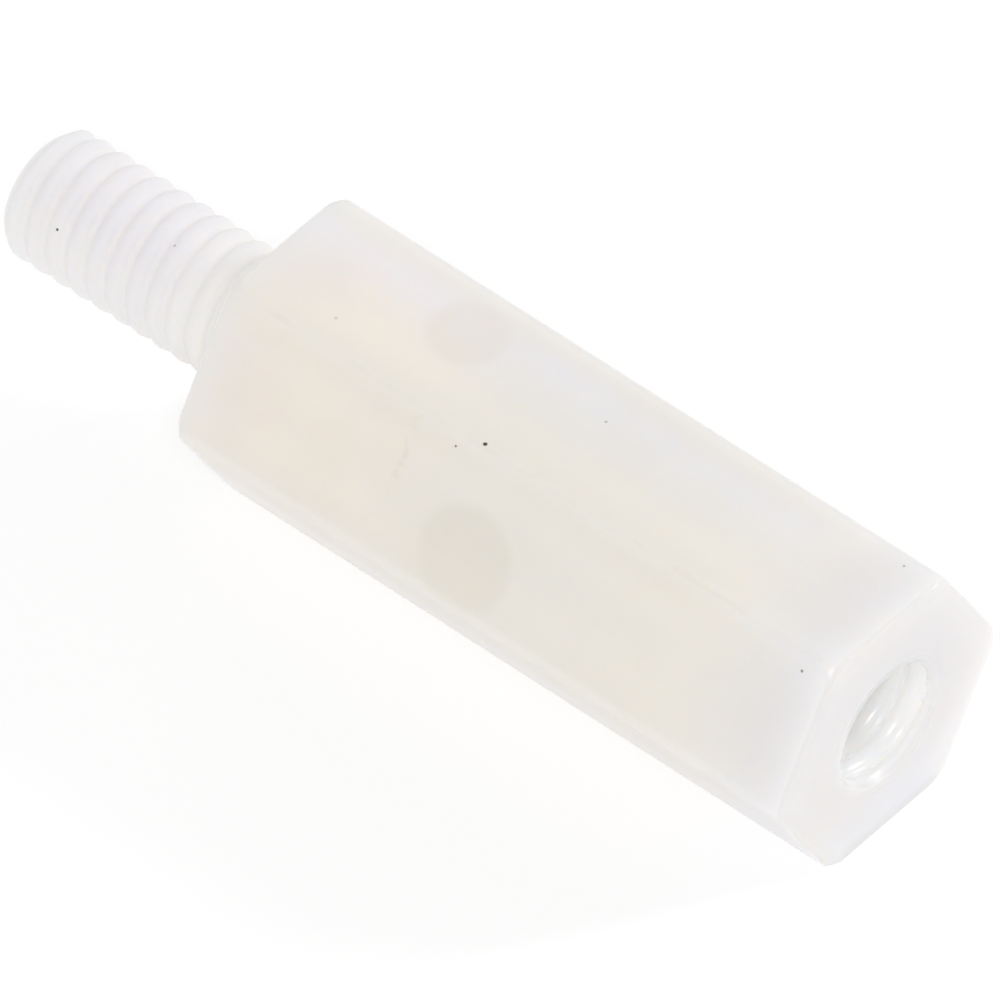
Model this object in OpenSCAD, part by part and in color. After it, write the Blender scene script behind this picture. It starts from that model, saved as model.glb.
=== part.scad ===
// Male to female hex standoff, moulded in one piece of natural nylon.
// Its axis lies along X: the stud points to -X and the bore opens at the +X end.
// The origin is on the axis, in the plane of the shoulder that seats on a panel.
// It lies on one flat of the hexagon, with the opposite flat on top.

/* [Hex body] */
// Distance across the flats of the hexagon
across_flats = 5.5; // [4.5:0.1:8]
// Length of the body, from the shoulder to the end face
body_len = 15; // [12:0.5:40]
// How far the six long edges are rounded off, measured along each flat
long_edge_round = 0.08; // [0.02:0.01:0.3]
// Width of the small bevel round the shoulder and the end face
end_edge_bevel = 0.08; // [0.02:0.01:0.3]

/* [Stud] */
// Diameter of the stud, over the lands of its thread
stud_d = 2.75; // [2:0.05:3.2]
// Length of the stud, from the shoulder to its tip
stud_len = 6; // [3:0.5:12]
// Chamfer round the tip of the stud, at 45 degrees
stud_tip_chamfer = 0.25; // [0.05:0.05:0.6]
// Radius of the fillet where the stud meets the shoulder
stud_root_r = 0.15; // [0.05:0.05:0.4]

/* [Bore] */
// Diameter of the bore, inside the lands of its thread
bore_d = 2.5; // [1.6:0.1:3.2]
// Depth of the bore, from the end face to its flat blind end
bore_depth = 10.3; // [5:0.1:11]
// Chamfer round the blind end, left by the tip of the core pin
bore_end_chamfer = 0.3; // [0.1:0.05:0.6]

/* [Threads] */
// Distance from one groove to the next, on the stud and in the bore
thread_pitch = 0.5; // [0.4:0.05:0.8]
// Depth of the grooves on the stud
stud_groove_depth = 0.25; // [0.1:0.01:0.3]
// Depth of the grooves in the bore
bore_groove_depth = 0.25; // [0.1:0.01:0.3]
// Length left plain in front of the blind end of the bore
bore_plain_end = 0.5; // [0.2:0.1:1]

/* [Hidden] */
$fn = 96;
// Number of flats, and the angle between two neighbours
flats = 6;
flat_step = 360 / flats;
// Angle of each flank of a thread's groove from a plane square to the axis
flank_angle = 30;
// How far a cutter or a joined shape runs past the face that it meets
overlap = 1;
stud_r = stud_d / 2;
bore_r = bore_d / 2;
// From the axis to the rounded long edges: each meets its flats long_edge_round from the sharp corner
flat_half_width = across_flats / 2 * tan(flat_step / 2);
long_edge_radius = norm([across_flats / 2, flat_half_width - long_edge_round]);

// Turns a shape made along Z to lie along +X
module along_axis() {
    rotate([0, 90, 0])
        children();
}

// Stands one copy of a shape made over the top flat on each flat of the hexagon
module on_each_flat() {
    for (i = [0:flats - 1])
        rotate([i * flat_step, 0, 0])
            children();
}

// Hexagonal bar with two flats level, its long edges rounded about the axis
module hex_bar() {
    intersection() {
        along_axis()
            rotate(flat_step / 2)
                cylinder(h = body_len, d = across_flats / cos(flat_step / 2), $fn = flats);
        translate([-overlap, 0, 0])
            along_axis()
                cylinder(h = body_len + 2 * overlap, r = long_edge_radius);
    }
}

// Bar that bevels the edge of the top flat at x, where the end face looks along the given side of X
module edge_cutter(x, side) {
    translate([x, 0, across_flats / 2])
        rotate([0, side * 45, 0])
            translate([-overlap, -across_flats / 2, -end_edge_bevel / sqrt(2)])
                cube([2 * overlap, across_flats, overlap]);
}

module hex_body() {
    difference() {
        hex_bar();
        on_each_flat() {
            edge_cutter(0, -1);
            edge_cutter(body_len, 1);
        }
    }
}

// Outlines of V-shaped grooves from radius r to r + depth, one to a pitch, which fill a length from height start in the direction of dir.
// A negative depth cuts towards the axis. A thread is stood for by such rings, whose section along the axis is that of the real one.
module groove_outlines(r, depth, start, length, dir) {
    run_out = -sign(depth) * thread_pitch / 4;
    half_width = (abs(depth) + thread_pitch / 4) * tan(flank_angle);
    for (i = [0:floor(length / thread_pitch) - 1])
        translate([r, start + dir * (i + 0.5) * thread_pitch])
            polygon([[depth, 0], [run_out, -half_width], [run_out, half_width]]);
}

// Stud: a threaded shaft with a chamfered tip and a fillet at its root
module stud() {
    mirror([1, 0, 0])
        along_axis()
            rotate_extrude()
                difference() {
                    polygon([
                        [0, -overlap],
                        [stud_r + stud_root_r, -overlap],
                        [stud_r + stud_root_r, stud_root_r],
                        [stud_r, stud_root_r],
                        [stud_r, stud_len - stud_tip_chamfer],
                        [stud_r - stud_tip_chamfer, stud_len],
                        [0, stud_len]
                    ]);
                    translate([stud_r + stud_root_r, stud_root_r])
                        circle(stud_root_r);
                    groove_outlines(stud_r, -stud_groove_depth, stud_len - stud_tip_chamfer, stud_len - stud_tip_chamfer - stud_root_r, -1);
                }
}

// Blind threaded bore, open at the end face
module bore() {
    translate([body_len - bore_depth, 0, 0])
        along_axis()
            rotate_extrude() {
                polygon([
                    [0, 0],
                    [bore_r - bore_end_chamfer, 0],
                    [bore_r, bore_end_chamfer],
                    [bore_r, bore_depth + overlap],
                    [0, bore_depth + overlap]
                ]);
                groove_outlines(bore_r, bore_groove_depth, bore_depth, bore_depth - bore_end_chamfer - bore_plain_end, -1);
            }
}

module standoff() {
    color("ivory")
        difference() {
            union() {
                hex_body();
                stud();
            }
            bore();
        }
}

standoff();
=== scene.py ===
import math
import bmesh
import bpy
from mathutils import Matrix, Vector


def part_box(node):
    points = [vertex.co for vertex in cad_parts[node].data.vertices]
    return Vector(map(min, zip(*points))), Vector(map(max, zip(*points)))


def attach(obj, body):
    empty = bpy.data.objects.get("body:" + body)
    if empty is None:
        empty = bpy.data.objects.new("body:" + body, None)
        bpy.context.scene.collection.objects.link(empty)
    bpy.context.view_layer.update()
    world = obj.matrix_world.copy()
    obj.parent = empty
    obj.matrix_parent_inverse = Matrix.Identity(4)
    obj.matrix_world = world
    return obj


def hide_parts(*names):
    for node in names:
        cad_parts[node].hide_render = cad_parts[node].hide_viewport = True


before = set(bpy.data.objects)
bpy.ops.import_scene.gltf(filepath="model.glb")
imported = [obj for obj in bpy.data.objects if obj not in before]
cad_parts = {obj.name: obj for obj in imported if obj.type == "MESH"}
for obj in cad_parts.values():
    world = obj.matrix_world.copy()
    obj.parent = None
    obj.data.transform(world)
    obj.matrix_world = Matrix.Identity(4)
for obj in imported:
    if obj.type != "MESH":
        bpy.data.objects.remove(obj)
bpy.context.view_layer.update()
print("frame loaded")

mm = 0.001  # the meshes are made in millimetres and scaled at the end
alongAxis = Vector((1, 0, 0))
weldReach = 0.002  # vertices this near are one
cutReach = 0.0005
sharpFrom = 40  # degrees between faces
spareTurns = 2  # turns of thread beyond what is kept


def rimAt(bm, x, reach=weldReach):
    # open edges that lie in the plane square to the axis at x
    return [e for e in bm.edges if e.is_boundary and all(abs(v.co.x - x) < reach for v in e.verts)]


def cutSquare(bm, x, keep):
    # cuts the mesh square to the axis and throws one side away
    bmesh.ops.bisect_plane(bm, geom=bm.verts[:] + bm.edges[:] + bm.faces[:], dist=cutReach,
                           plane_co=(x, 0, 0), plane_no=alongAxis,
                           clear_inner=keep == "above", clear_outer=keep == "below")


def turnTo(bm, radiusAt):
    # turns the surface to a new radius, as a lathe does
    for v in bm.verts:
        radius = math.hypot(v.co.y, v.co.z)
        change = radiusAt(v.co.x, radius) / radius
        v.co.y *= change
        v.co.z *= change


def spinThread(spec, fromX, toX):
    # one pitch of the profile: land, flank, groove, flank, land
    land = spec["landWidth"] / 2
    pitch = spec["pitch"]
    profile = [(0, spec["landRadius"]), (land, spec["landRadius"]), (pitch / 2, spec["grooveRadius"]),
               (pitch - land, spec["landRadius"]), (pitch, spec["landRadius"])]
    pitches = math.ceil((toX - fromX) / pitch) + spareTurns
    start = fromX - pitch * (spareTurns - spec["phase"])
    bm = bmesh.new()
    points = [bm.verts.new((start + x, 0, radius)) for x, radius in profile]
    for pair in zip(points, points[1:]):
        bm.edges.new(pair)
    bmesh.ops.bevel(bm, geom=points[1:4], offset=spec["soften"], offset_type="OFFSET",
                    segments=spec["softenSteps"], profile=0.5, affect="VERTICES", material=-1)
    longEdges = [e for e in bm.edges if e.calc_length() > spec["longestEdge"]]
    bmesh.ops.subdivide_edges(bm, edges=longEdges, cuts=spec["flankCuts"])
    bmesh.ops.spin(bm, geom=bm.verts[:] + bm.edges[:], cent=(0, 0, 0), axis=alongAxis,
                   dvec=alongAxis * pitch / spec["steps"], angle=math.tau, steps=spec["steps"])
    oneTurn = bm.verts[:] + bm.edges[:] + bm.faces[:]
    for i in range(1, pitches + 1):
        turn = bmesh.ops.duplicate(bm, geom=oneTurn)["geom"]
        bmesh.ops.translate(bm, verts=[g for g in turn if isinstance(g, bmesh.types.BMVert)],
                            vec=alongAxis * pitch * i)
    bmesh.ops.remove_doubles(bm, verts=bm.verts, dist=weldReach)
    for x, keep in ((fromX, "above"), (toX, "below")):
        cutSquare(bm, x, keep)
        for v in {v for e in rimAt(bm, x) for v in e.verts}:
            v.co.x = x
    return bm


# threaded shaft at the closed end
stud = {
    "length": 6.0,
    "pitch": 0.5,
    "landRadius": 1.375,  # crest of the thread
    "grooveRadius": 1.2,
    "landWidth": 0.2,
    "soften": 0.09,
    "softenSteps": 3,
    "longestEdge": 0.05,
    "flankCuts": 2,
    "steps": 72,  # round the axis
    "phase": 0.45,  # where in a turn the thread begins
    "tipChamfer": 0.25,
    "rootFillet": 0.12,
}


def makeStud(spec):
    bm = spinThread(spec, -spec["length"], 0)
    fillet = spec["rootFillet"]

    def turned(x, radius):
        tip = spec["landRadius"] - spec["tipChamfer"] + (x + spec["length"])
        radius = min(radius, tip)
        if x > -fillet:
            rise = fillet - math.sqrt(max(fillet ** 2 - (x + fillet) ** 2, 0))
            radius = max(radius, spec["landRadius"] + rise)
        return radius

    turnTo(bm, turned)
    bmesh.ops.holes_fill(bm, edges=rimAt(bm, -spec["length"]), sides=0)
    return bm


# blind hole with its thread, open at the end face
bore = {
    "mouth": 15.0,
    "depth": 10.3,
    "pitch": 0.5,
    "landRadius": 1.25,
    "grooveRadius": 1.44,
    "landWidth": 0.2,
    "soften": 0.09,
    "softenSteps": 3,
    "longestEdge": 0.05,
    "flankCuts": 2,
    "steps": 72,
    "phase": 0.8,
    "plainEnd": 0.9,  # length without thread at the blind end
    "fadeSlope": 0.5,
    "endChamfer": 0.3,
    "leadIn": 0.13,  # small countersink at the mouth
}


def makeBore(spec):
    blind = spec["mouth"] - spec["depth"]
    bm = spinThread(spec, blind, spec["mouth"])

    def turned(x, radius):
        fade = spec["landRadius"] + max(0, x - blind - spec["plainEnd"]) * spec["fadeSlope"]
        core = spec["landRadius"] - spec["endChamfer"] + (x - blind)
        mouth = spec["landRadius"] + spec["leadIn"] - (spec["mouth"] - x)
        return max(min(radius, fade, core), mouth)

    turnTo(bm, turned)
    bmesh.ops.holes_fill(bm, edges=rimAt(bm, blind), sides=0)
    return bm


# body, 5.5 mm across the flats
hexBody = {
    "acrossFlats": 5.5,
    "length": 15.0,
    "longEdgeRadius": 3.136,  # from the axis to the six rounded long edges
    "longEdgeRound": 0.08,
    "longEdgeSegments": 4,
    "endEdgeRound": 0.08,
    "endEdgeSegments": 4,
    "flatCuts": 21,
    "ringStep": 0.13,
    "maleCornerCut": 0.15,
    "femaleCornerCut": 0.13,
}


# shallow round marks that the ejector pins leave on two flats
witnessMarks = {
    "topMark": {"x": 4.2, "across": 0.45, "turn": 0, "radius": 0.8, "strength": 0.28},
    "frontMark": {"x": 6.8, "across": -0.57, "turn": 60, "radius": 1.05, "strength": 0.33},
}
markDepth = 0.01
markBlend = 0.32  # width over which a mark fades out


def flatNormal(turn):
    return Matrix.Rotation(math.radians(turn), 3, "X") @ Vector((0, 0, 1))


def markCentre(mark):
    place = Vector((mark["x"], mark["across"], hexBody["acrossFlats"] / 2))
    return Matrix.Rotation(math.radians(mark["turn"]), 3, "X") @ place


def makeHexShell(spec):
    cornerRadius = spec["acrossFlats"] / 2 / math.cos(math.pi / 6)
    apothem = spec["acrossFlats"] / 2
    bm = bmesh.new()
    corners = bmesh.ops.create_circle(bm, cap_ends=False, radius=cornerRadius, segments=6)["verts"]
    bmesh.ops.bevel(bm, geom=corners, offset=spec["longEdgeRound"], offset_type="OFFSET",
                    segments=spec["longEdgeSegments"], profile=0.5, affect="VERTICES", material=-1)
    sides = [e for e in bm.edges if e.calc_length() > spec["longEdgeRound"] * 2]
    bmesh.ops.subdivide_edges(bm, edges=sides, cuts=spec["flatCuts"])
    bmesh.ops.rotate(bm, verts=bm.verts, cent=(0, 0, 0), matrix=Matrix.Rotation(math.pi / 2, 3, "Y"))

    # distance along the axis, and how far the outline shrinks there
    edge = spec["endEdgeRound"]
    arc = [math.pi / 2 * i / spec["endEdgeSegments"] for i in range(spec["endEdgeSegments"] + 1)]
    rounded = [(edge * (1 - math.cos(a)), edge * (1 - math.sin(a))) for a in arc]
    count = round((spec["length"] - 2 * edge) / spec["ringStep"])
    plain = (spec["length"] - 2 * edge) / count
    stations = rounded + [(edge + plain * i, 0) for i in range(1, count)]
    stations += [(spec["length"] - x, shrink) for x, shrink in reversed(rounded)]
    size = 1 - edge / apothem
    bmesh.ops.scale(bm, verts=bm.verts, vec=(1, size, size))
    ring = bm.edges[:]
    for (x, shrink), (nextX, nextShrink) in zip(stations, stations[1:]):
        grown = bmesh.ops.extrude_edge_only(bm, edges=ring)["geom"]
        section = [g for g in grown if isinstance(g, bmesh.types.BMVert)]
        ring = [g for g in grown if isinstance(g, bmesh.types.BMEdge) and g.is_boundary]
        size = (apothem - nextShrink) / (apothem - shrink)
        bmesh.ops.translate(bm, verts=section, vec=(nextX - x, 0, 0))
        bmesh.ops.scale(bm, verts=section, vec=(1, size, size))

    # the six corners are turned down a little at both ends
    def turned(x, radius):
        fromMale = spec["longEdgeRadius"] - max(spec["maleCornerCut"] - x, 0)
        fromFemale = spec["longEdgeRadius"] - max(spec["femaleCornerCut"] - spec["length"] + x, 0)
        return min(radius, fromMale, fromFemale)

    turnTo(bm, turned)
    for v in bm.verts:
        v.co.x = min(v.co.x, spec["length"])
    for mark in witnessMarks.values():
        centre, normal = markCentre(mark), flatNormal(mark["turn"])
        for v in bm.verts:
            inside = (mark["radius"] - (v.co - centre).length) / markBlend + 0.5
            v.co -= normal * markDepth * min(max(inside, 0), 1)
    return bm


def takeIn(bm, other):
    # adds the other mesh to this one
    spare = bpy.data.meshes.new("spare")
    other.to_mesh(spare)
    other.free()
    bm.from_mesh(spare)
    bpy.data.meshes.remove(spare)


def setInOrder(bm):
    # vertices, edges and faces from end to end, so that every run gives the same mesh
    ranks = {v: i for i, v in enumerate(sorted(bm.verts, key=lambda v: v.co[:]))}
    bm.verts.sort(key=ranks.get)
    for parts in (bm.edges, bm.faces):
        inOrder = sorted(parts, key=lambda part: sorted(ranks[v] for v in part.verts))
        places = {part: i for i, part in enumerate(inOrder)}
        parts.sort(key=places.get)


def makeStandoff():
    bm = makeStud(stud)
    takeIn(bm, makeBore(bore))
    takeIn(bm, makeHexShell(hexBody))
    bmesh.ops.triangle_fill(bm, edges=rimAt(bm, 0), use_beauty=True, normal=(-1, 0, 0))
    bmesh.ops.triangle_fill(bm, edges=rimAt(bm, hexBody["length"]), use_beauty=True, normal=(1, 0, 0))
    bmesh.ops.recalc_face_normals(bm, faces=bm.faces)
    setInOrder(bm)
    openEdges = sum(not e.is_manifold for e in bm.edges)
    volume = round(bm.calc_volume(), 2)
    print("standoff mesh:", len(bm.faces), "faces,", openEdges, "open edges, volume", volume, "mm3")
    bmesh.ops.scale(bm, vec=(mm, mm, mm), verts=bm.verts)
    mesh = bpy.data.meshes.new("standoffBody")
    bm.to_mesh(mesh)
    bm.free()
    mesh.shade_smooth()
    mesh.set_sharp_from_angle(angle=math.radians(sharpFrom))
    piece = bpy.data.objects.new("standoffBody", mesh)
    bpy.context.scene.collection.objects.link(piece)
    return piece


standoff = makeStandoff()


# natural moulded nylon: tones, then the stretches in millimetres over which they change
nylon = {
    "bodyTone": (0.868, 0.826, 0.765, 1),
    "startTone": (0.836, 0.788, 0.752, 1),  # body next to the shoulder
    "studTone": (0.804, 0.792, 0.803, 1),
    # painted light: the top of the stud, tinted cooler for the key lamp that falls on it
    "studTopPaintedLightTone": (0.788, 0.773, 0.808, 1),
    "rootPaintedLightTone": (0.862, 0.845, 0.829, 1),  # painted light on the stud next to the shoulder, lifting the shadow that the body casts there
    "collarPaintedLightTone": (0.950, 0.932, 0.915, 1),  # painted light on its last turn, lifting the shade that lies there
    "lowTone": (0.808, 0.756, 0.703, 1),  # lower flats, next to the front edge
    # painted light: a cooler underside, for the white floor's light coming through
    "undersidePaintedLightTone": (0.856, 0.826, 0.810, 1),
    "rimPaintedShadeTone": (0.690, 0.672, 0.672, 1),  # painted shade on the bevel round the end face, damping the bright line it shows
    "endTone": (0.750, 0.749, 0.768, 1),
    "lowEndTone": (0.825, 0.816, 0.850, 1),
    "faceTone": (0.720, 0.710, 0.722, 1),  # end face round the bore
    "lowFaceTone": (0.742, 0.744, 0.783, 1),
    "lipPaintedShadeTone": (0.705, 0.695, 0.705, 1),  # painted shade on the thin wall next to the mouth, damping the bright halo round it
    "farPaintedLightTone": (0.833, 0.822, 0.868, 1),  # painted light: the far side of the top flat, tinted cooler for the key lamp that falls there
    "edgePaintedShadeTone": (0.790, 0.755, 0.695, 1),  # painted shade on the long edges, damping the bright lines along them
    "markTone": (0.745, 0.700, 0.625, 1),  # clouds, witness marks and parting line
    "groovePaintedLightTone": (0.856, 0.844, 0.850, 1),  # painted light in the grooves of the stud, lifting their shade
    "filletPaintedLightTone": (0.975, 0.955, 0.940, 1),  # painted light on its root, lifting the dark contact shade at the shoulder
    "borePaintedLightTone": (0.920, 0.914, 0.909, 1),  # painted light in the bore, next to the mouth, lifting its shade
    "deepPaintedLightTone": (0.997, 0.995, 0.992, 1),  # painted light further in, where the bore's shade is deepest
    "speckTone": (0.030, 0.022, 0.018, 1),
    "rootStretch": (-2.6, -0.7),  # along the axis
    "collarStretch": (-1.15, -0.75),
    "shoulderStretch": (-0.2, 0.3),
    "startStretch": (2.4, 0.4),
    "filletStretch": (-0.35, -0.1),
    "filletStop": (0.03, -0.01),
    "filletRadii": (1.75, 1.5),
    "studTopHeights": (0.5, 1.2),
    "bodyStart": (-0.1, 0.1),  # short stretches, where one surface meets the next
    "studStart": (0.05, -0.05),
    "grooveStart": (-0.05, -0.15),
    "boreStart": (4.5, 4.6),
    "endStretch": (11.4, 15.0),
    "farEnd": (14.0, 11.5),
    "faceStretch": (14.9, 14.98),
    "rimStretch": (14.88, 14.94),
    "mouthStretch": (15.05, 14.6),
    "deepStretch": (14.65, 13.9),
    "lowHeights": (0.1, -0.3),
    "undersideHeights": (-0.7, -2.0),
    "lowEndHeights": (-0.8, -2.4),
    "topHeights": (1.8, 2.6),
    "farWidths": (-0.8, 1.8),
    "lipRadii": (1.75, 1.45),  # from the axis
    "edgeRadii": (2.8, 3.1),
    "edgeStretch": (14.0, 11.0),
    "grooveRadii": (1.32, 1.19),
    "boreRadii": (1.55, 1.49),
    "rimReach": (2.3, 2.72),  # square to the flats
    "edgeShare": 0.7,
    "cloudNoise": (0.42, 3),  # scale and detail
    "dashNoise": (1.6, 3),
    "dotNoise": (4.5, 1),
    "grainNoise": (9, 2),
    "waveNoise": (0.7, 2),
    "waveRange": (0.3, 0.7),
    "cloudShare": 0.18,
    "cloudEdges": (0.45, 0.8),
    "dashEdges": (0.38, 0.74),
    "dotEdges": (0.48, 0.62),
    "partingNormal": (0, 0.866, 0.5),
    "partingShift": 0.04,
    "partingWidth": (0.1, 0.02),
    "partingRadii": (2.95, 3.02),
    "lineShare": 0.3,
    "blindEndShift": 0.1,
    "blindEndWidth": (0.16, 0.03),
    "blindEndWidths": (-1.5, -1.7),
    "blindEndHeights": (1.0, 1.6),
    "blindEndShare": 0.36,
    "speckEdges": (1.3, 0.6),  # shares of a speck's radius
    "scatterScale": 0.6,
    "scatterSize": (0.035, 0.015),
    "scatterHeights": (0, -0.3),
    "scatterStrength": 0.8,
    "roughness": 0.35,
    "roughnessSpread": 0.04,
    "studRoughness": 0.6,
    "boreRoughness": 0.26,  # left by a polished core pin
    "waveDepth": 0.02 * mm,
    "waveStrength": 0.5,
    "grainDepth": 0.004 * mm,
    "grainStrength": 0.25,
    "refraction": 1.53,
    "lightReach": (1.0, 0.85, 0.7),
    "reachScale": 2.5 * mm,
}
# dark specks in the natural plastic: place, radius and strength
specks = [
    ((6.29, -1.48, 2.75), 0.045, 1.0),
    ((5.77, -1.72, 2.52), 0.025, 0.8),
    ((-4.63, -1.17, 0.72), 0.03, 1.0),
    ((-4.60, -0.83, 0.80), 0.045, 0.9),
    ((-2.35, -0.43, 1.31), 0.04, 0.6),
    ((7.62, 0.44, 2.75), 0.03, 0.4),
    ((14.33, -1.76, 2.45), 0.03, 0.7),
    ((2.07, -0.88, 2.75), 0.03, 0.3),
    ((14.21, 1.31, 2.75), 0.03, 0.4),
    ((14.93, 3.08, 0.05), 0.07, 0.85),
]


def put(tree, kind, inputs, output, **settings):
    # adds a node, sets or joins its inputs and gives back one output
    node = tree.nodes.new(kind)
    for name, value in settings.items():
        setattr(node, name, value)
    for socket, value in inputs.items():
        if isinstance(value, bpy.types.NodeSocket):
            tree.links.new(value, node.inputs[socket])
        else:
            node.inputs[socket].default_value = value
    return node.outputs[output]


def ramp(tree, value, low, high, top=1.0):
    # smooth step: 0 at low, top at high
    return put(tree, "ShaderNodeMapRange", {"Value": value, "From Min": low, "From Max": high, "To Max": top},
               "Result", interpolation_type="SMOOTHSTEP")


def times(tree, a, b):
    return put(tree, "ShaderNodeMath", {0: a, 1: b}, "Value", operation="MULTIPLY")


def larger(tree, a, b):
    return put(tree, "ShaderNodeMath", {0: a, 1: b}, "Value", operation="MAXIMUM")


def tint(tree, color, other, amount):
    return put(tree, "ShaderNodeMix", {"Factor": amount, "A": color, "B": other}, "Result", data_type="RGBA")


def awayFrom(tree, value, middle):
    # distance of a value from its middle
    apart = put(tree, "ShaderNodeMath", {0: value, 1: middle}, "Value", operation="SUBTRACT")
    return put(tree, "ShaderNodeMath", {0: apart}, "Value", operation="ABSOLUTE")


def makeNylon(spec):
    material = bpy.data.materials.new("naturalNylon")
    material.use_nodes = True
    tree = material.node_tree
    shader = tree.nodes["Principled BSDF"]
    shader.inputs["IOR"].default_value = spec["refraction"]
    shader.inputs["Subsurface Weight"].default_value = 1
    shader.inputs["Subsurface Radius"].default_value = spec["lightReach"]
    shader.inputs["Subsurface Scale"].default_value = spec["reachScale"]

    # object coordinates, in millimetres
    place = put(tree, "ShaderNodeVectorMath", {0: tree.nodes.new("ShaderNodeTexCoord").outputs["Object"],
                                               "Scale": 1 / mm}, "Vector", operation="SCALE")
    axes = tree.nodes.new("ShaderNodeSeparateXYZ")
    tree.links.new(place, axes.inputs["Vector"])
    x, y, z = axes.outputs
    across = put(tree, "ShaderNodeVectorMath", {0: place, 1: (0, 1, 1)}, "Vector", operation="MULTIPLY")
    radius = put(tree, "ShaderNodeVectorMath", {0: across}, "Value", operation="LENGTH")

    def along(stretch):
        return ramp(tree, x, *spec[stretch])

    def aloft(heights):
        return ramp(tree, z, *spec[heights])

    def outward(radii, top=1.0):
        return ramp(tree, radius, *spec[radii], top)

    def noise(kind):
        scale, detail = spec[kind]
        return put(tree, "ShaderNodeTexNoise", {"Vector": place, "Scale": scale, "Detail": detail}, "Fac")

    def measured(point, operation):
        return put(tree, "ShaderNodeVectorMath", {0: place, 1: point}, "Value", operation=operation)

    # warm in the thick middle, cooler on the stud and the open end; painted light tints the far side of the
    # top flat cooler
    # painted light: the top of the stud takes a cooler tint for the key lamp above it
    color = tint(tree, spec["studTone"], spec["studTopPaintedLightTone"], aloft("studTopHeights"))
    # painted light: the stud next to the shoulder is made paler, against the body's shadow
    color = tint(tree, color, spec["rootPaintedLightTone"], along("rootStretch"))
    # painted light: the stud's last turn is made paler, against the shade on it
    color = tint(tree, color, spec["collarPaintedLightTone"], along("collarStretch"))
    # painted light: the fillet at the stud's root is made paler, against the contact shade
    inFillet = times(tree, along("filletStretch"), outward("filletRadii"))
    color = tint(tree, color, spec["bodyTone"], along("shoulderStretch"))
    color = tint(tree, color, spec["filletPaintedLightTone"], times(tree, inFillet, along("filletStop")))
    onBody = along("bodyStart")
    color = tint(tree, color, spec["startTone"], times(tree, onBody, along("startStretch")))
    color = tint(tree, color, spec["lowTone"], times(tree, aloft("lowHeights"), onBody))
    # painted light: the underside is tinted cooler for the floor's light
    color = tint(tree, color, spec["undersidePaintedLightTone"], times(tree, aloft("undersideHeights"), onBody))
    color = tint(tree, color, spec["endTone"], along("endStretch"))
    color = tint(tree, color, spec["lowEndTone"], times(tree, along("endStretch"), aloft("lowEndHeights")))
    onFace = along("faceStretch")
    color = tint(tree, color, spec["faceTone"], onFace)
    color = tint(tree, color, spec["lowFaceTone"], times(tree, onFace, aloft("lowEndHeights")))
    # painted shade: the ring round the mouth is darkened against its bright halo
    color = tint(tree, color, spec["lipPaintedShadeTone"], times(tree, onFace, outward("lipRadii")))

    # how far out a point lies, square to the nearest flat
    flats = [put(tree, "ShaderNodeMath", {0: measured(flatNormal(turn), "DOT_PRODUCT")}, "Value",
                 operation="ABSOLUTE") for turn in (0, 60, 120)]
    reach = larger(tree, larger(tree, flats[0], flats[1]), flats[2])
    # painted shade: the bevel round the end face is darkened against its bright rim
    onRim = times(tree, along("rimStretch"), ramp(tree, reach, *spec["rimReach"]))
    color = tint(tree, color, spec["rimPaintedShadeTone"], onRim)
    # painted light: the far side of the top flat is tinted cooler where the key lamp falls
    onTop = times(tree, aloft("topHeights"), ramp(tree, y, *spec["farWidths"]))
    color = tint(tree, color, spec["farPaintedLightTone"], times(tree, onTop, along("farEnd")))
    # painted shade: the long edges are darkened against their bright lines
    onLongEdge = times(tree, outward("edgeRadii", spec["edgeShare"]), along("edgeStretch"))
    color = tint(tree, color, spec["edgePaintedShadeTone"], onLongEdge)

    # cloudy flow of the moulded plastic
    cloud = noise("cloudNoise")
    color = tint(tree, color, spec["markTone"], ramp(tree, cloud, *spec["cloudEdges"], spec["cloudShare"]))

    # witness marks look a little darker than the flats around them
    for mark in witnessMarks.values():
        away = measured(markCentre(mark), "DISTANCE")
        rim = mark["radius"]
        inside = ramp(tree, away, rim + markBlend / 2, rim - markBlend / 2, mark["strength"])
        color = tint(tree, color, spec["markTone"], inside)

    # parting line of the mould, broken here and there, along two opposite long edges
    fromParting = awayFrom(tree, measured(spec["partingNormal"], "DOT_PRODUCT"), spec["partingShift"])
    line = times(tree, outward("partingRadii"), ramp(tree, noise("dashNoise"), *spec["dashEdges"]))
    line = times(tree, line, ramp(tree, fromParting, *spec["partingWidth"], spec["lineShare"]))
    color = tint(tree, color, spec["markTone"], line)

    # the blind end of the bore shows faintly through the front flat, as a row of soft dots
    blind = bore["mouth"] - bore["depth"]
    fromBlind = awayFrom(tree, x, blind + spec["blindEndShift"])
    dots = ramp(tree, noise("dotNoise"), *spec["dotEdges"])
    row = times(tree, ramp(tree, fromBlind, *spec["blindEndWidth"]), dots)
    nearEdge = times(tree, ramp(tree, y, *spec["blindEndWidths"]), aloft("blindEndHeights"))
    row = times(tree, row, nearEdge)
    color = tint(tree, color, spec["markTone"], times(tree, row, spec["blindEndShare"]))

    # painted light: paler in the grooves of the stud and inside the bore, lifting the shade that falls in
    # them
    color = tint(tree, color, spec["groovePaintedLightTone"], times(tree, outward("grooveRadii"), along("grooveStart")))
    inBore = times(tree, outward("boreRadii"), along("boreStart"))
    # painted light: the bore walls are made paler against the shade inside the hole
    color = tint(tree, color, spec["borePaintedLightTone"], times(tree, inBore, along("mouthStretch")))
    color = tint(tree, color, spec["deepPaintedLightTone"], times(tree, inBore, along("deepStretch")))

    for centre, size, strength in specks:
        away = measured(centre, "DISTANCE")
        outer, inner = (size * share for share in spec["speckEdges"])
        color = tint(tree, color, spec["speckTone"], ramp(tree, away, outer, inner, strength))
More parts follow.
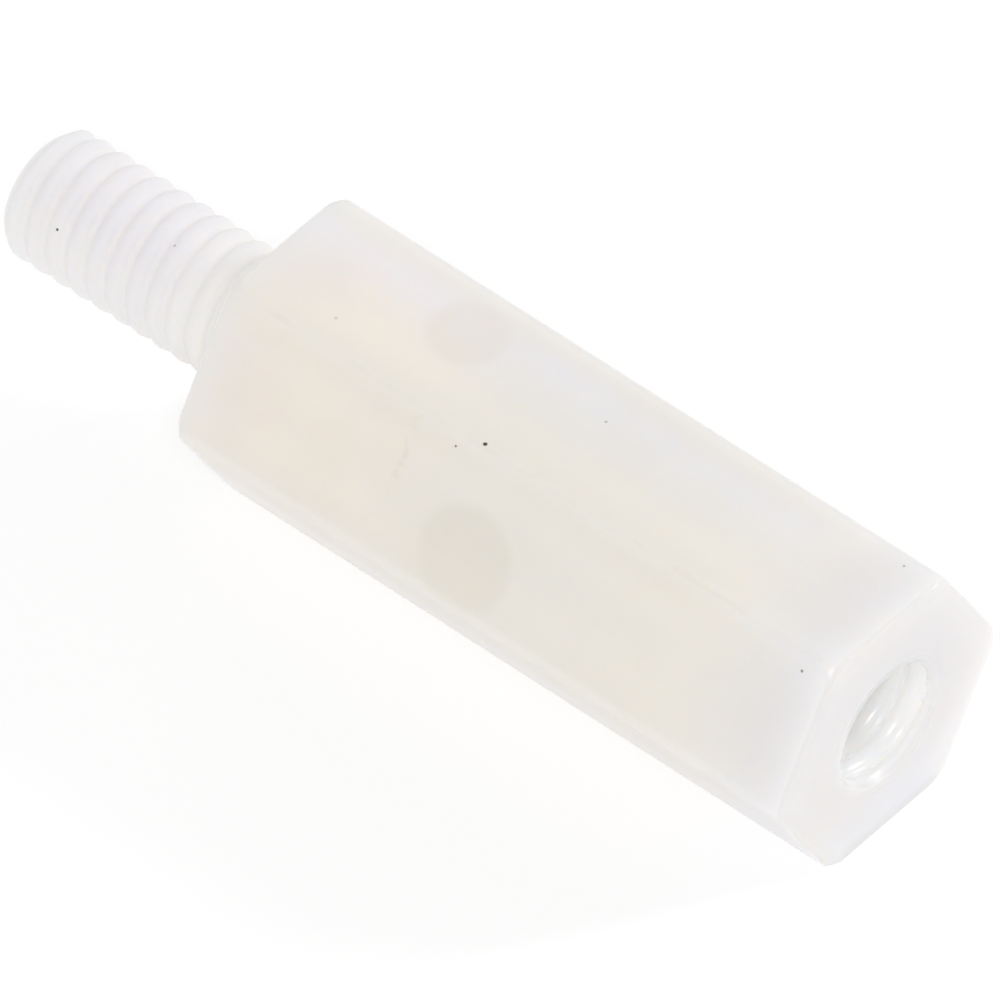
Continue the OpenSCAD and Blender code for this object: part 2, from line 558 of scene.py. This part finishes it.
    # a few more, scattered over the underside
    cells = put(tree, "ShaderNodeTexVoronoi", {"Vector": place, "Scale": spec["scatterScale"]}, "Distance")
    scattered = ramp(tree, cells, *spec["scatterSize"], spec["scatterStrength"])
    color = tint(tree, color, spec["speckTone"], times(tree, scattered, aloft("scatterHeights")))
    tree.links.new(color, shader.inputs["Base Color"])

    # satin skin: slow waves and a very fine moulded grain
    grain = noise("grainNoise")
    wave = noise("waveNoise")
    low, high = spec["waveRange"]
    smooth, spread = spec["roughness"], spec["roughnessSpread"]
    rough = put(tree, "ShaderNodeMapRange", {"Value": wave, "From Min": low, "From Max": high,
                                             "To Min": smooth - spread, "To Max": smooth + spread}, "Result")
    for where, amount in ((along("studStart"), spec["studRoughness"]), (inBore, spec["boreRoughness"])):
        rough = put(tree, "ShaderNodeMix", {"Factor": where, "A": rough, "B": amount}, "Result")
    tree.links.new(rough, shader.inputs["Roughness"])
    skin = put(tree, "ShaderNodeBump", {"Height": wave, "Strength": spec["waveStrength"],
                                        "Distance": spec["waveDepth"]}, "Normal")
    skin = put(tree, "ShaderNodeBump", {"Height": grain, "Strength": spec["grainStrength"],
                                        "Distance": spec["grainDepth"], "Normal": skin}, "Normal")
    tree.links.new(skin, shader.inputs["Normal"])
    return material


standoff.data.materials.append(makeNylon(nylon))
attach(standoff, "root")
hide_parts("standoff")
print("standoff made")


# pale floor, soft lamps and a light tent
studio = {
    "floorSize": 4.0,
    "floorColor": (0.97, 0.97, 0.97, 1),
    "floorGlow": 0.65,  # light that the floor gives by itself, as a share
    "seenGlow": 0.5,  # the same for what the camera sees
    "seenStrength": 1.13,
    "tentColor": (1, 1, 1, 1),
    "tentStrength": 0.6,
    "lamps": {  # place, size across and power of each soft lamp
        "keyLamp": ((0.81, 1.08, 0.64), 0.3, 5.8),
        "frontBox": ((0.66, -0.78, 1.1), 0.4, 6.75),
        "backBox": ((-0.91, 0.91, 0.76), 0.8, 1.4),
    },
}


def makeFloor(spec, level):
    bm = bmesh.new()
    bmesh.ops.create_grid(bm, x_segments=1, y_segments=1, size=spec["floorSize"] / 2)
    bmesh.ops.translate(bm, verts=bm.verts, vec=(0, 0, level))
    mesh = bpy.data.meshes.new("floor")
    bm.to_mesh(mesh)
    bm.free()
    floor = bpy.data.objects.new("floor", mesh)
    bpy.context.scene.collection.objects.link(floor)
    material = bpy.data.materials.new("palePaper")
    material.use_nodes = True
    nodes, links = material.node_tree.nodes, material.node_tree.links
    nodes.remove(nodes["Principled BSDF"])
    paper = nodes.new("ShaderNodeBsdfDiffuse")
    paper.inputs["Color"].default_value = spec["floorColor"]
    glow = nodes.new("ShaderNodeEmission")
    both = nodes.new("ShaderNodeMixShader")
    links.new(paper.outputs["BSDF"], both.inputs[1])
    links.new(glow.outputs["Emission"], both.inputs[2])
    links.new(both.outputs["Shader"], nodes["Material Output"].inputs["Surface"])
    # seen directly, in a reflection or through glass, the floor is white apart from the shadow
    tree = material.node_tree
    rays = nodes.new("ShaderNodeLightPath").outputs
    seen = rays["Is Camera Ray"]
    for ray in ("Is Glossy Ray", "Is Transmission Ray"):
        seen = larger(tree, seen, rays[ray])
    share = put(tree, "ShaderNodeMapRange", {"Value": seen, "To Min": spec["floorGlow"],
                                             "To Max": spec["seenGlow"]}, "Result")
    strength = put(tree, "ShaderNodeMapRange", {"Value": seen, "To Min": 1,
                                                "To Max": spec["seenStrength"]}, "Result")
    links.new(share, both.inputs["Fac"])
    links.new(strength, glow.inputs["Strength"])
    mesh.materials.append(material)


def makeLight(spec):
    world = bpy.data.worlds.new("lightTent")
    bpy.context.scene.world = world
    world.use_nodes = True
    nodes, links = world.node_tree.nodes, world.node_tree.links
    tent = nodes["Background"]
    tent.inputs["Color"].default_value = spec["tentColor"]
    tent.inputs["Strength"].default_value = spec["tentStrength"]
    for name, (place, size, power) in spec["lamps"].items():
        lamp = bpy.data.lights.new(name, "AREA")
        lamp.shape = "DISK"
        lamp.size = size
        lamp.energy = power
        stand = bpy.data.objects.new(name, lamp)
        bpy.context.scene.collection.objects.link(stand)
        stand.location = Vector(place)
        stand.rotation_euler = stand.location.to_track_quat("Z", "Y").to_euler()
        stand.visible_camera = False


cameraSetup = {
    "azimuth": 40.285,
    "elevation": 47.077,
    "roll": 0.656,
    "distance": 785.5 * mm,
    "lens": 1500,
    "sensor": 36,
    "nearest": 0.01,
    "farthest": 5,
    "aim": (4.559, 1.0075, -2.027),  # millimetres
}


def makeCamera(spec):
    around, above = math.radians(spec["azimuth"]), math.radians(spec["elevation"])
    back = Vector((math.sin(around) * math.cos(above), -math.cos(around) * math.cos(above), math.sin(above)))
    data = bpy.data.cameras.new("camera")
    data.lens = spec["lens"]
    data.sensor_width = spec["sensor"]
    data.clip_start = spec["nearest"]
    data.clip_end = spec["farthest"]
    camera = bpy.data.objects.new("camera", data)
    bpy.context.scene.collection.objects.link(camera)
    turn = back.to_track_quat("Z", "Y").to_matrix() @ Matrix.Rotation(math.radians(spec["roll"]), 3, "Z")
    place = Vector(spec["aim"]) * mm + back * spec["distance"]
    camera.matrix_world = Matrix.Translation(place) @ turn.to_4x4()
    bpy.context.scene.camera = camera


makeFloor(studio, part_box("standoff")[0].z)
makeLight(studio)
makeCamera(cameraSetup)
bpy.context.scene.view_settings.view_transform = "Standard"
bounces = 24  # light crosses the bore many times
bpy.context.scene.cycles.max_bounces = bounces
bpy.context.scene.cycles.diffuse_bounces = bounces
print("studio set")
